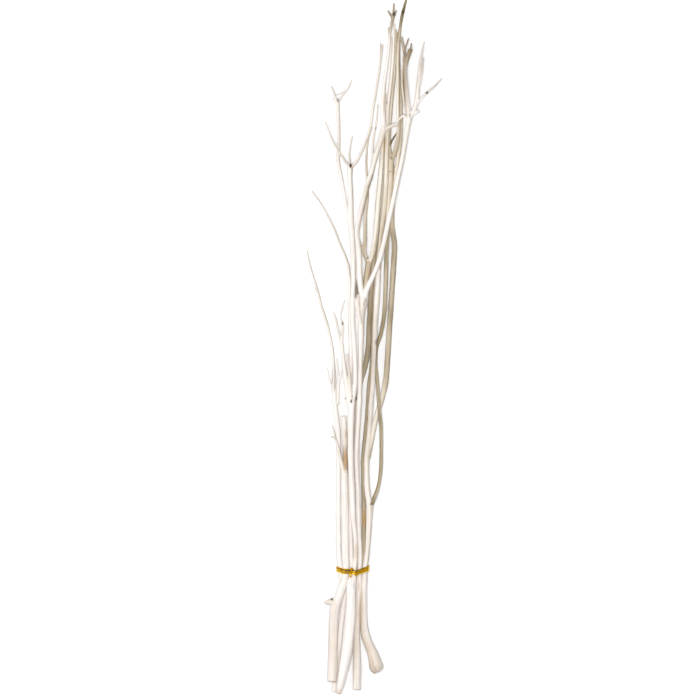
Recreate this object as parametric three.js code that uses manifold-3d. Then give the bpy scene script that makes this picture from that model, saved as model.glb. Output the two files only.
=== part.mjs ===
// A bundle of five bleached, three-forked twigs held by a gold wire tie, lying down.
//
// Millimetres, +Z up. The twigs run along +Y with their cut butts at low Y, and the lowest
// wood and the underside of the tie rest on z = 0. The origin is under the middle of the bundle.
// Every route row is [x, y, z, diameter] at a bend or swelling of that limb.

import * as THREE from 'three';
import Module from 'manifold-3d';
import { mergeVertices } from 'three/addons/utils/BufferGeometryUtils.js';

const wasm = await Module();
wasm.setup();

// Driving dimensions.
const GAP = 0.3; // clearance kept between limbs that touch
const RING_SPACING = 36; // longest stretch of limb between two rings of its sides
const SEED_RADIUS = 0.5; // radius of the thin tube that is swelled to the limb's diameter
const SIDES = [[3.3, 4], [5.4, 5], [9.8, 6], [Infinity, 7]]; // a limb up to this thick has this many sides

const WIRE = 2.4; // diameter of one strand of the tie
const WIRE_PITCH = 2.7; // distance between its turns
const WIRE_TURNS = 3;
const WIRE_SIDES = 6;
const TIE_SLACK = 0.6; // room between the wire and the limbs it holds
const WIRE_STEPS = 16; // steps in one turn
const TIE_Y = 176.6; // lowest point of the sagging middle turn
const TIE_KNOT = [[-2.6, 171, 24, 1.9], [-1.6, 177, 25.6, 2.8], [-0.4, 183.5, 24.8, 1.9]];

const BLEACHED = { color: 0xefe6dc, roughness: 0.78, metalness: 0 };
const SHADED = { color: 0xcdb894, roughness: 0.82, metalness: 0 };
const GOLD = { color: 0xd9a520, roughness: 0.28, metalness: 1 };

// The limbs as they cross the tie: x, z and radius.
const AT_TIE = [
  [-16.3, 9.2, 3.9],
  [-8.6, 15.7, 5.2],
  [-5.5, 7.2, 3.75],
  [-0.5, 12.1, 3.6],
  [3.2, 19.8, 3.5],
  [10.6, 14.2, 3.8],
  [15.6, 6.8, 3.2],
  [18.3, 12.4, 3.9],
];

// Each limb: name, finish, main route, then the small side twigs that grow from it.
const LIMBS = [
  // Left stem: hooked butt with a cut spur, forking under the tie.
  ['left_butt', BLEACHED,
    [[-29, 20, 17.5, 13.6], [-27.8, 60, 14, 13.6], [-26.8, 100, 12, 13.4], [-25.4, 122, 12.5, 13.6],
      [-19, 141, 13, 12.8], [-13.6, 158, 13.8, 11.6]],
    [[[-25, 124, 12.5, 12], [-30, 129.5, 13, 9], [-34.4, 132.4, 13.4, 6.4], [-38, 133.8, 13.6, 3.6]]]],
  ['inner_stem', BLEACHED,
    [[-13.6, 156, 13.8, 10.5], [-10.2, 168, 15.2, 10.4], [-8.6, 180, 15.7, 10.4], [-9.6, 200, 16, 11],
      [-10, 240, 16.5, 11.4], [-10.2, 270, 16.5, 11], [-10.8, 295, 16.5, 10.4], [-11, 320, 16.2, 10]],
    []],
  ['inner_cut_arm', BLEACHED,
    [[-10.6, 318, 15, 8], [-9.6, 335, 12.8, 7.6], [-9.8, 352, 12, 7.6], [-10.8, 376, 12.6, 7.8],
      [-12.2, 402, 14.6, 8.2]],
    []],
  ['inner_hooked_twig', BLEACHED,
    [[-11.6, 318, 16.6, 6.6], [-14.6, 332, 17.2, 5.6], [-17.6, 346, 17, 4.6], [-20.4, 358, 16.6, 3.9],
      [-24, 369, 16.6, 3.4], [-29.5, 371.5, 17, 2.4]],
    [[[-23.2, 364, 16.6, 2.8], [-25.5, 378, 17, 2.4], [-28, 388, 17.4, 2]]]],
  ['left_arm', BLEACHED,
    [[-13.8, 156, 13, 8], [-15.4, 169, 10.4, 7.8], [-16.3, 180, 9.2, 7.8], [-18.8, 202, 9.2, 8],
      [-19.5, 250, 8.6, 8], [-19.4, 300, 7.2, 7.8], [-19, 350, 5.6, 7.5], [-20, 380, 4.8, 7.3],
      [-22.5, 402, 4.3, 7.2], [-25.2, 424, 3.8, 7.1], [-26, 440, 3.9, 7.6]],
    [[[-27, 436, 4, 4], [-31, 448, 5.5, 3.6], [-34, 460, 7, 3.2], [-36, 471, 8, 2.6]],
      [[-20, 418, 4, 3.4], [-19.6, 435, 4, 3], [-19, 455, 4.6, 2.8], [-22, 484, 5.5, 2.2]],
      [[-19.4, 446, 4.4, 2.6], [-16, 460, 5.4, 2.2], [-13, 472, 6.4, 2]],
      [[-27, 436, 6, 4.2], [-27, 452, 9.4, 3.8], [-27, 476, 11.4, 3.4]]]],
  ['left_long_twig', BLEACHED,
    [[-26, 440, 4.2, 5.6], [-25, 452, 5, 5], [-27.4, 484, 6.5, 4.8], [-29.2, 502, 7, 4.6],
      [-34.5, 528, 7.6, 4.4], [-38.6, 543, 8, 4.2], [-44.5, 561, 8.2, 4], [-49, 580, 8.2, 3.8],
      [-56, 603, 8.4, 3.2], [-61.5, 623, 8.8, 2.8], [-64.5, 640, 9.2, 2]],
    [[[-49, 578, 8.2, 2.6], [-53, 586, 9.5, 2.2]]]],

  // Middle stem: the thickest butt, pointed by an oblique cut, forking just below the tie.
  ['middle_butt', BLEACHED,
    [[-19, 2, 13, 7], [-17, 16, 13, 11.5], [-13, 35, 13.2, 14], [-8, 60, 13.6, 16],
      [-5.7, 80, 14, 16.4], [-3.5, 100, 14.4, 15.8], [-1.6, 130, 15.6, 14.2], [-1.4, 147, 16.2, 12.8]],
    []],
  ['middle_high_arm', BLEACHED,
    [[1.2, 142, 17, 7.4], [2.2, 158, 18.4, 7], [3, 169, 19.6, 6.9], [3.2, 180, 19.8, 7],
      [5.4, 200, 20, 6.4], [4.5, 230, 20.2, 6.2], [1.6, 260, 19.6, 7.2], [0, 300, 19.2, 8.4],
      [-2, 350, 18.6, 8.8], [-1.6, 400, 18, 9], [-0.5, 422, 17.8, 9.8]],
    [[[-4, 414, 18, 4], [-8, 421, 18.5, 3.2], [-9.8, 427, 19, 2.4]]]],
  ['middle_low_arm', BLEACHED,
    [[-3.4, 142, 16, 8.2], [-4, 157, 14.8, 7.8], [-2.2, 169, 12.8, 7.3], [-0.5, 180, 12.1, 7.2],
      [-1.2, 200, 12, 7], [-2, 222, 12, 7], [-3, 260, 10.4, 7], [-3, 340, 9, 7], [-2.5, 400, 9, 7],
      [-2, 445, 9.4, 7], [-1.5, 482, 11, 6.8], [-1.8, 515, 12, 6.6], [-3.4, 560, 12, 5.6],
      [-3.8, 602, 12.2, 4.6]],
    []],
  ['slanting_twig', BLEACHED,
    [[-3.8, 600, 12.2, 4.2], [-5.6, 620, 12.6, 3.6], [-10, 633, 13, 3.4], [-16, 647, 13.4, 3.3],
      [-25, 670, 14, 3.2], [-36, 692, 14.8, 2.9], [-45, 708, 15.6, 2.5], [-58, 726, 16.5, 1.9]],
    []],
  ['left_fork', BLEACHED,
    [[-1.5, 420, 18, 7.5], [-5.5, 431, 18.2, 6.8], [-7.6, 445, 18.4, 6.4], [-10.2, 466, 18.6, 5.8],
      [-12.8, 488, 18.8, 5], [-15, 508, 19, 4.4]],
    []],
  ['left_fork_outer_tip', BLEACHED,
    [[-15.2, 507, 19, 3.4], [-18.5, 521, 19.3, 3], [-22.3, 538, 19.6, 2.8], [-26, 551, 20, 2]],
    []],
  ['left_fork_inner_tip', BLEACHED,
    [[-14.6, 507, 19, 3.2], [-13.5, 521, 19.2, 2.8], [-13.6, 535, 19.6, 3.2], [-16.2, 543, 19.8, 2.4],
      [-14, 557, 20, 2.2], [-10, 569, 20.4, 1.8]],
    []],
  ['middle_spur', BLEACHED,
    [[-0.8, 422, 19.5, 6], [-2, 440, 20.6, 5.2], [-3.2, 457, 21, 4.4], [-5, 472, 21.2, 3.6],
      [-7, 491, 21.4, 2.4]],
    []],
  ['upright', BLEACHED,
    [[0, 421, 18, 7.5], [3.2, 438, 18.2, 6.8], [4.8, 458, 18.2, 6.6], [3.8, 492, 18.2, 6.8],
      [1.6, 528, 18.2, 6.8], [0.6, 556, 18.2, 6.6], [2, 600, 18, 6.8], [1.6, 630, 17.8, 7],
      [0.6, 652, 17.6, 7.6], [-1.2, 671, 17.6, 8.4]],
    []],
  ['upright_left', BLEACHED,
    [[-1.4, 669, 17.8, 6], [-5, 686, 18, 5.2], [-8, 700, 18, 4.8], [-11.4, 722, 18, 4.8],
      [-17.6, 755, 18, 5], [-20.2, 770, 18, 5.4], [-19, 792, 18, 5], [-19.5, 822, 18, 5.2],
      [-20.6, 846, 18, 5.6], [-21, 857, 18, 6]],
    [[[-21, 852, 18, 4], [-26, 866, 18.4, 3.6], [-29.5, 875.5, 18.8, 2.6]],
      [[-20.5, 852, 18, 3.8], [-13.4, 864, 18.6, 3.4], [-7, 871, 19, 3], [0, 886, 19.6, 2]],
      [[-9.6, 869, 18.8, 2.4], [-15, 865.6, 20, 2.4], [-21.6, 863.6, 21, 2]],
      [[-21, 850, 18, 4.4], [-23.6, 854, 18.4, 4], [-27, 858, 18.6, 3.4]]]],
  ['upright_right', BLEACHED,
    [[-1.2, 669, 17.4, 8], [-1.4, 690, 17, 7.8], [-1.8, 715, 16.8, 7.4], [-3, 742, 16.8, 7],
      [-2.6, 762, 17, 8]],
    [[[-2, 758, 17.5, 3.4], [-4, 778, 18.5, 2.8], [-2, 793, 19.5, 2.4], [0.5, 804, 20.5, 2]]]],
  ['crossing_twig', BLEACHED,
    [[-3, 760, 18, 4.4], [-8.5, 766, 20.5, 3.6], [-15, 776, 22.6, 3.2], [-22, 787, 23, 3],
      [-30, 803, 22.6, 2.8], [-38.5, 825, 22.2, 2]],
    []],
  ['long_bowed_twig', BLEACHED,
    [[-1.6, 760, 17.4, 4.6], [3.4, 764, 18, 4.2], [10, 774, 18.4, 3.8], [18.5, 793, 18.8, 3.7],
      [26.5, 818, 19.2, 3.7], [30.4, 845, 19.6, 3.7], [35, 872, 20, 3.7], [39.8, 904, 20.2, 3.6],
      [44, 935, 20.6, 2.4]],
    [[[40.4, 908, 20.2, 2.4], [40.8, 924, 21.4, 2], [41, 938, 22, 1.8]]]],

  // Centre stem: forks at mid-length, then into three from one swollen node.
  ['centre_butt', BLEACHED,
    [[7, 7.5, 6.1, 12], [7.2, 30, 6.1, 12.1], [7, 52, 6, 11.8], [6.6, 85, 6, 10], [8, 110, 6.4, 9.4],
      [9, 132, 8.2, 8.8], [9.8, 148, 10, 9]],
    []],
  ['centre_stem', BLEACHED,
    [[9.6, 146, 10.8, 7.6], [10, 166, 13.2, 7.7], [10.6, 180, 14.2, 7.6],
      [11.5, 200, 14.6, 6.8], [10.2, 230, 14.4, 6.4], [9, 260, 14, 6.4], [8.3, 292, 13.4, 6.4],
      [6.5, 345, 12.2, 7.4], [9, 398, 12, 7], [10.6, 428, 12.4, 8.6]],
    []],
  ['shaded_stem', SHADED,
    [[10.4, 146, 9, 6.6], [13, 163, 6.4, 6.4], [15.6, 180, 6.8, 6.4], [16.6, 205, 5, 6.6],
      [17, 260, 3.8, 6.8], [16.6, 300, 3.6, 7], [16.6, 342, 3.6, 7.1], [20.4, 380, 3.7, 7.3],
      [23.2, 414, 3.75, 7.5], [25.2, 445, 3.7, 7.4], [28.6, 474, 3.6, 7.1], [30.4, 512, 3.4, 6.6],
      [31, 560, 3.4, 6.4]],
    []],
  ['shaded_stem_upper', SHADED,
    [[31, 558, 3.4, 6.4], [34.4, 608, 3.4, 6.3], [38.4, 655, 3.4, 6.2], [43, 690, 3.6, 6.2],
      [46, 722, 3.8, 5.8], [48.4, 760, 3.8, 5.4], [49, 800, 3.6, 5], [49.6, 835, 3.4, 4.4],
      [49.4, 865, 3.4, 3.2]],
    []],
  ['centre_arm', BLEACHED,
    [[10.7, 427, 12.8, 7.4], [11.6, 458, 13.6, 6.8], [12.5, 490, 14.4, 7.2], [12.8, 520, 15, 8.4],
      [14, 550, 16, 9], [16.4, 573, 17, 10.4]],
    [[[17.5, 556, 17, 4.4], [21, 564, 17.4, 3.4]],
      [[12.6, 536, 17, 7], [9.4, 553, 18.6, 6.6], [8.6, 577, 19.6, 5.8]],
      [[9.8, 550, 18.4, 4.2], [5.8, 560, 18, 3.6], [3.9, 571, 18, 3]],
      [[10.4, 556, 15, 5], [7.4, 570, 13.4, 5], [6.4, 583, 12.8, 4.6], [5.2, 599, 12.6, 2.6]]]],
  ['crown_left', BLEACHED,
    [[15.6, 571, 17.4, 8.2], [12.4, 588, 18.4, 7.8], [11, 606, 19, 8.2], [10.4, 628, 19.4, 8],
      [8.8, 648, 19.6, 7.3], [7.2, 664, 19.6, 6.8], [9.4, 680, 19.4, 7], [14, 699, 19.2, 7.2],
      [18.4, 717, 19, 7.2], [22, 733, 19, 7.4], [26, 746, 19, 8.2]],
    []],
  ['crown_left_top', BLEACHED,
    [[26, 745, 19, 7.2], [29.4, 758, 19, 7], [34, 775, 19, 7.1], [39, 791, 19, 7.6],
      [43.4, 805, 18.8, 8], [45.6, 818, 18.4, 8.4]],
    [[[46, 812, 18.4, 6], [55, 818, 18.4, 4.8], [65, 822, 18.6, 4]],
      [[27.6, 750, 18.4, 3], [29.4, 774, 17, 2.8], [30.4, 799, 15.6, 2.7], [34.6, 821, 15, 2.6],
        [37.4, 850, 14.6, 2]]]],
  ['crown_left_tip', BLEACHED,
    [[45.6, 816, 18, 7.2], [44.6, 834, 17.6, 7.6], [44.6, 854, 17.2, 7.2], [46, 878, 16.8, 5.4],
      [50, 905, 16.4, 4.8], [52.6, 930, 16, 4.4], [55, 955, 15.8, 4.2], [59.6, 978, 15.6, 5]],
    [[[58.4, 974, 15.6, 3.4], [52, 984.5, 16.4, 2.6]],
      [[59.4, 976, 15.8, 3.4], [60.2, 995, 17, 2.4]],
      [[60, 975, 15.4, 3], [64, 985, 15.8, 2.2]],
      [[53, 938, 16, 3], [52.6, 960, 17, 2.6]]]],
  ['crown_middle', SHADED,
    [[16.8, 571, 16.4, 7.6], [18.6, 588, 15.4, 7.4], [21, 604, 14, 8], [24, 622, 12.8, 9.4]],
    []],
  ['crown_middle_left', SHADED,
    [[23.6, 620, 12.8, 6.6], [18.2, 637, 12.2, 6], [18.8, 655, 12, 5.8], [18.8, 680, 11.4, 5.4],
      [20, 700, 11, 5], [22.4, 718, 10.4, 4.2], [21.2, 748, 9.6, 3.2], [20.6, 772, 9.4, 3],
      [23.6, 800, 9.6, 2.7], [29, 818, 10, 2]],
    [[[17.6, 632, 12.4, 3.6], [13.4, 644, 13.4, 3], [10.5, 656, 14.4, 2.4]]]],
  ['crown_middle_right', SHADED,
    [[24.4, 620, 12.8, 7.4], [29.4, 634, 12.8, 7.2], [33, 652, 12.6, 7], [35.4, 678, 12.2, 7],
      [37.4, 705, 12.2, 6.9], [40.4, 740, 12.2, 6.5], [42.6, 768, 11.6, 6], [44.4, 795, 10.4, 5.6],
      [47.6, 830, 9.8, 5], [53, 868, 9.6, 4.4], [56.4, 900, 9.6, 4], [57.6, 932, 10, 3.2],
      [56, 948, 10.4, 2.2]],
    []],
  ['crown_right', BLEACHED,
    [[17.6, 572, 17.8, 8], [23, 588, 19, 7.2], [31, 605, 20.2, 6.8], [39.4, 627, 21, 6.7],
      [45.8, 651, 21.2, 6.7], [51.4, 678, 21.2, 6.6], [58, 706, 21, 6.5], [64.4, 737, 20.6, 6.5],
      [70, 761, 20, 6.5], [75.6, 790, 19, 6.6], [79.6, 814, 18.4, 7], [83, 831, 18, 8.4]],
    [[[80, 827, 18, 4.4], [74, 834, 18.2, 3.8], [66, 827.5, 18.6, 3]]]],
  ['crown_right_left_arm', BLEACHED,
    [[82.4, 830, 17.8, 6.4], [78.8, 842, 17, 5.8], [75, 860, 15.6, 5.4], [72.8, 882, 14.4, 5],
      [73.4, 900, 13.6, 4.8], [76.2, 916, 13, 4.6], [74.4, 931, 12.8, 4.2], [71, 946, 12.6, 3.8]],
    [[[73.6, 912, 14.6, 3], [76.4, 929, 16, 2.6], [81.4, 945, 17.4, 2]]]],
  ['crown_right_cut_arm', BLEACHED,
    [[83, 830, 18.2, 6.8], [80.2, 848, 18.6, 6.8], [77.4, 874, 19, 6.8], [76, 898, 19.4, 6.4],
      [78.4, 912, 19.6, 6.2], [84.2, 929, 19.8, 6.4]],
    [[[84.2, 924, 19.8, 2.8], [85.2, 937, 20.4, 2]]]],
  ['crown_right_outer_arm', BLEACHED,
    [[83.8, 831, 18, 6.6], [89, 841, 18, 6.2], [92.8, 856, 18, 6], [94.6, 874, 18, 5.2],
      [97.2, 903, 18.2, 3.8], [99.4, 919, 18.4, 3.2], [104, 940, 18.8, 2]],
    [[[87.5, 835, 18, 4.4], [95.5, 840, 18.6, 3.6]],
      [[95.4, 872, 18, 3.6], [99.6, 890, 17.4, 3], [103, 917, 17, 2]]]],
  ['far_right_twig', BLEACHED,
    [[94, 851, 18, 3.8], [100, 859, 18.4, 3.2], [108, 867, 18.6, 3.6], [119, 876, 19, 2.6],
      [129, 887, 19.6, 1.9]],
    []],

  // Right stem: club-ended butt, forking above the tie into an upright and a bowed arm.
  ['right_butt', BLEACHED,
    [[38, 36.4, 9.7, 18.8], [35.6, 41, 9.7, 19.2], [33, 49.6, 9.4, 17.4], [29.4, 60, 9.2, 15],
      [25.2, 70, 9, 13.6], [21, 80.6, 9, 13.2], [18.2, 93, 9.2, 12.2], [16.9, 112, 9.8, 10.6],
      [16.7, 132, 10.6, 9.8], [17.2, 151, 11.6, 9], [18, 167, 12.4, 8], [18.3, 180, 12.4, 7.8],
      [21.8, 204, 12.6, 7], [23.8, 232, 13, 7.8], [25.4, 260, 13, 9.2], [26, 274, 13, 10]],
    []],
  ['right_upright', BLEACHED,
    [[25.6, 272, 13, 8.4], [22, 297, 13, 8], [21.2, 320, 13, 7.6], [21.4, 342, 13, 7.6],
      [25, 380, 13.4, 6.6], [27.4, 420, 14, 6.6], [29.6, 445, 14.4, 6.6], [31, 480, 14.6, 6.6],
      [33, 522, 13.6, 7], [36, 575, 12, 7.8], [38, 612, 11, 7.4]],
    []],
  ['right_upright_top', SHADED,
    [[38, 611, 11, 7], [41.4, 655, 10.6, 6.4], [44, 680, 10.6, 6.4], [47, 702, 10.8, 6.4],
      [48.8, 732, 11, 6.2], [49.6, 765, 11.4, 6], [50.4, 800, 12, 5.6], [51.6, 842, 12.4, 5],
      [55.6, 880, 12.8, 4.6], [58.8, 915, 13, 4.2], [60.4, 948, 13, 3.6], [61, 966, 13, 2.6]],
    []],
  ['bowed_arm', SHADED,
    [[26.6, 272, 13, 7.4], [30.8, 281, 13.2, 6.2], [35, 291, 13.4, 5.8], [39.2, 306, 13.8, 5.5],
      [41.6, 326, 14.2, 5.4], [42.2, 350, 14.6, 5.3], [41.8, 386, 15.2, 5.3], [39.6, 408, 15.6, 5.2],
      [37.8, 430, 12.4, 5.1], [36.2, 455, 9, 5.2], [34, 478, 8, 5.4], [35, 499, 8, 5.6],
      [41.4, 520, 8.8, 6], [46.2, 547, 9.2, 6.2], [48.6, 598, 9.2, 6.3], [49.8, 640, 9, 6.3]],
    []],
  ['bowed_arm_top', SHADED,
    [[49.8, 638, 9, 6.3], [51.6, 675, 9, 6.4], [54.4, 715, 9.4, 6.6], [56.4, 745, 9.8, 7],
      [57, 771, 10, 8]],
    []],
  ['dark_fork_left', SHADED,
    [[56.6, 769, 10, 5.8], [54, 788, 8.2, 5], [54.4, 815, 7, 4.6], [57, 850, 6.4, 4.4],
      [61, 890, 6.4, 4.2], [63, 930, 7, 3.8], [63.4, 958, 7.4, 2.8]],
    [[[54, 790, 9, 2.6], [59, 801, 11, 2.4], [66, 811, 12.6, 2.2]]]],
  ['dark_fork_right', SHADED,
    [[57.4, 769, 10.4, 6], [62, 783, 11.4, 5.8], [65.8, 800, 12, 5.6], [67, 822, 12.4, 5.4],
      [66, 850, 12.6, 5], [66.4, 882, 12.8, 4.6], [66, 914, 12.8, 4], [67, 940, 12.6, 3]],
    []],
  ['outer_arm', SHADED,
    [[22.4, 341, 12.4, 7.6], [26.6, 360, 11.6, 7.6], [32, 388, 10, 7.6], [38, 410, 8.6, 7.8],
      [44.2, 431, 7.4, 8], [48.6, 452, 6.4, 8.2], [51.2, 484, 5.2, 8.2], [53.6, 520, 4.5, 8.1],
      [57.4, 580, 4.1, 8], [60.6, 628, 4.1, 8.1], [61.4, 648, 4.4, 8.2], [58.2, 670, 5.4, 8]],
    []],
  ['outer_arm_top', SHADED,
    [[58.2, 668, 5.4, 7.6], [57.6, 694, 6.6, 7], [60, 720, 7.4, 6.9], [63.4, 748, 7.8, 6.8],
      [67.4, 780, 8, 6.4], [70.4, 812, 8, 6], [70.6, 845, 8, 5.6], [68.4, 880, 8, 5.2],
      [67.4, 915, 8, 4.8], [68.2, 950, 8.2, 4.6], [71, 972, 8.6, 4.4], [74, 986, 9, 4.4],
      [79, 1005, 9.4, 3]],
    []],

  // Rear stem: lies underneath, shaded by the others.
  ['rear_butt', BLEACHED,
    [[-25.8, 3.5, 4.2, 8.2], [-24.6, 18, 4.2, 8.2], [-21.4, 45, 4.2, 8.2], [-18.8, 70, 4.2, 8.1],
      [-16, 100, 4.4, 8], [-12.6, 127, 5, 7.9], [-9, 152, 5.8, 7.7], [-5.5, 180, 7.2, 7.5],
      [-2.4, 215, 4.4, 7.5], [0, 250, 3.8, 7.5]],
    []],
  ['rear_stem', SHADED,
    [[0, 248, 3.8, 7.5], [2, 300, 3.75, 7.5], [4.6, 350, 3.7, 7.4], [6.8, 395, 3.7, 7.3],
      [8.4, 428, 3.7, 7.2], [11.8, 449, 3.7, 7.2], [18.4, 471, 3.6, 7.4], [23, 498, 3.8, 7.8],
      [25.4, 545, 4, 7.8]],
    []],
  ['rear_stem_upper', SHADED,
    [[25.4, 543, 4, 7.4], [26.6, 570, 4.8, 6.8], [28.8, 600, 6.6, 6.2], [31.2, 630, 6.4, 5.8],
      [33.4, 662, 5.8, 5.5], [35.6, 700, 5.4, 5.2], [38.8, 740, 5, 4.6], [41.4, 775, 4.6, 3.4]],
    []],
];

// A limb: a thin tube along its route, swelled ring by ring to the diameters of the route.
function sweep(route, extra = 0) {
  const path = new THREE.CatmullRomCurve3(route.map(([x, y, z]) => new THREE.Vector3(x, y, z)));
  const thickest = Math.max(...route.map((row) => row[3]));
  const sides = SIDES.find(([limit]) => thickest < limit)[1];
  const steps = Math.max(route.length - 1, Math.round(path.getLength() / RING_SPACING));
  const outline = new THREE.Shape();
  for (let i = 0; i < sides; i += 1) {
    const angle = (i / sides) * 2 * Math.PI;
    const x = SEED_RADIUS * Math.cos(angle);
    const y = SEED_RADIUS * Math.sin(angle);
    if (i === 0) outline.moveTo(x, y);
    else outline.lineTo(x, y);
  }
  const tube = new THREE.ExtrudeGeometry(outline, { steps, extrudePath: path, bevelEnabled: false });
  const centres = path.getSpacedPoints(steps);
  const swelling = centres.map((_, i) => (diameterAt(path, route, i / steps) + extra) / 2 / SEED_RADIUS);
  const place = tube.getAttribute('position');
  const point = new THREE.Vector3();
  for (let i = 0; i < place.count; i += 1) {
    point.fromBufferAttribute(place, i);
    const ring = nearest(centres, point);
    point.sub(centres[ring]).multiplyScalar(swelling[ring]).add(centres[ring]);
    place.setXYZ(i, point.x, point.y, point.z);
  }
  return solidOf(tube);
}

function diameterAt(path, route, share) {
  const along = path.getUtoTmapping(share) * (route.length - 1);
  const row = Math.min(Math.floor(along), route.length - 2);
  return THREE.MathUtils.lerp(route[row][3], route[row + 1][3], along - row);
}

function nearest(centres, point) {
  let best = 0;
  centres.forEach((centre, i) => {
    if (centre.distanceToSquared(point) < centres[best].distanceToSquared(point)) best = i;
  });
  return best;
}

function solidOf(geometry) {
  geometry.deleteAttribute('normal');
  geometry.deleteAttribute('uv');
  const merged = mergeVertices(geometry, 1e-4);
  return new wasm.Manifold(new wasm.Mesh({
    numProp: 3,
    vertProperties: new Float32Array(merged.getAttribute('position').array),
    triVerts: new Uint32Array(merged.index.array),
  }));
}

function geometryOf(solid) {
  const mesh = solid.getMesh();
  const geometry = new THREE.BufferGeometry();
  geometry.setAttribute('position', new THREE.BufferAttribute(mesh.vertProperties, 3));
  geometry.setIndex(new THREE.BufferAttribute(mesh.triVerts, 1));
  geometry.computeVertexNormals();
  return geometry;
}

function largestBody(solid) {
  return solid.decompose().reduce((a, b) => (b.volume() > a.volume() ? b : a));
}

// The tie: one strand wound round the limbs like a taut string, sagging at the front, with
// its two ends twisted together on top.
function wireTie(extra = 0) {
  const turn = (angle) => {
    const out = new THREE.Vector2(Math.sin(angle), Math.cos(angle));
    const reach = ([x, z, r]) => x * out.x + z * out.y + r;
    const [x, z, r] = AT_TIE.reduce((a, b) => (reach(b) > reach(a) ? b : a));
    return out.multiplyScalar(r + TIE_SLACK + WIRE / 2).add(new THREE.Vector2(x, z));
  };
  const winding = [];
  const first = -(WIRE_TURNS / 2) * WIRE_PITCH;
  for (let i = 0; i <= WIRE_TURNS * WIRE_STEPS; i += 1) {
    const share = i / WIRE_STEPS;
    const at = turn(share * 2 * Math.PI);
    const sag = 0.0105 * at.x * at.x + 0.05 * at.x;
    winding.push([at.x, TIE_Y + sag + first + share * WIRE_PITCH, at.y, WIRE]);
  }
  return sweepRings(winding, extra).add(sweep(TIE_KNOT, extra));
}

// The same sweep with one ring at each row, for the close bends of the wire.
function sweepRings(rows, extra) {
  const points = rows.map(([x, y, z]) => new THREE.Vector3(x, y, z));
  const path = new THREE.CatmullRomCurve3(points);
  path.arcLengthDivisions = rows.length * 8;
  const outline = new THREE.Shape();
  for (let i = 0; i < WIRE_SIDES; i += 1) {
    const angle = (i / WIRE_SIDES) * 2 * Math.PI;
    const radius = (WIRE + extra) / 2;
    if (i === 0) outline.moveTo(radius, 0);
    else outline.lineTo(radius * Math.cos(angle), radius * Math.sin(angle));
  }
  const tube = new THREE.ExtrudeGeometry(outline, {
    steps: rows.length - 1, extrudePath: path, bevelEnabled: false,
  });
  return solidOf(tube);
}

const group = new THREE.Group();
const placed = [];

function add(name, finish, solid, grown) {
  const mesh = new THREE.Mesh(geometryOf(solid), new THREE.MeshStandardMaterial(finish));
  mesh.name = name;
  group.add(mesh);
  placed.push(grown);
}

function meets(a, b) {
  const p = a.boundingBox();
  const q = b.boundingBox();
  return [0, 1, 2].every((k) => p.min[k] < q.max[k] && q.min[k] < p.max[k]);
}

add('wire_tie', GOLD, wireTie(), wireTie(2 * GAP));
for (const [name, finish, route, twigs] of LIMBS) {
  const grow = (extra) => twigs.reduce((solid, twig) => solid.add(sweep(twig, extra)), sweep(route, extra));
  let solid = grow(0);
  for (const other of placed) {
    if (meets(solid, other)) solid = solid.subtract(other);
  }
  add(name, finish, largestBody(solid), grow(2 * GAP));
}

// The origin under the middle of the bundle, with its lowest point on z = 0.
const box = new THREE.Box3().setFromObject(group);
const middle = box.getCenter(new THREE.Vector3());
group.children.forEach((mesh) => mesh.geometry.translate(-middle.x, -middle.y, -box.min.z));

export default group;
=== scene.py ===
"""A bundle of five bleached, three-forked twigs bound by a gold wire tie, lying on a pale floor.

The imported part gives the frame. Every limb is swept again along the same route as its CAD
node, with round and slightly uneven sides. The limbs of one branch are grown into one skin,
filled at the forks and ridged along the grain, and the tie is wound again from round wire.
"""

import math
import random

import bmesh
import bpy
import numpy as np
from mathutils import Matrix, Vector
from mathutils.kdtree import KDTree


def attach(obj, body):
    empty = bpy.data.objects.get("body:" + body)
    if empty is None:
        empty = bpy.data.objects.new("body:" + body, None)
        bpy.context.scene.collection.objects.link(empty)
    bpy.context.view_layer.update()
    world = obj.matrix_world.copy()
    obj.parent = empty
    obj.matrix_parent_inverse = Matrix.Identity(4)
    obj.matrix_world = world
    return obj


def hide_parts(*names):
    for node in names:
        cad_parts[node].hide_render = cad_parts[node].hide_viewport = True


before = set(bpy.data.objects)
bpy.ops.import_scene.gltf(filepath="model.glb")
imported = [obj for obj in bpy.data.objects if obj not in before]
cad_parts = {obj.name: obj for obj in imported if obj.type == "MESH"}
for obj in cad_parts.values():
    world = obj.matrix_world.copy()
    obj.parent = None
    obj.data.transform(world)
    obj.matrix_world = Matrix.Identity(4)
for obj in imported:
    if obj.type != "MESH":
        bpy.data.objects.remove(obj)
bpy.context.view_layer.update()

MM = 0.001
ORIGIN = Vector((32.16, 503.45, 0.0))  # the part's centring, mm: routes below are before it
STATION = 2.6  # mm between the rings of a limb
RING_SIDES = 14
SKIN = 0.75 * MM  # grid that the limbs of a branch are grown together on
FLAT_CUT = 4.6  # mm: an end thicker than this is sawn or snapped off flat, a thinner one tapers

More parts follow.
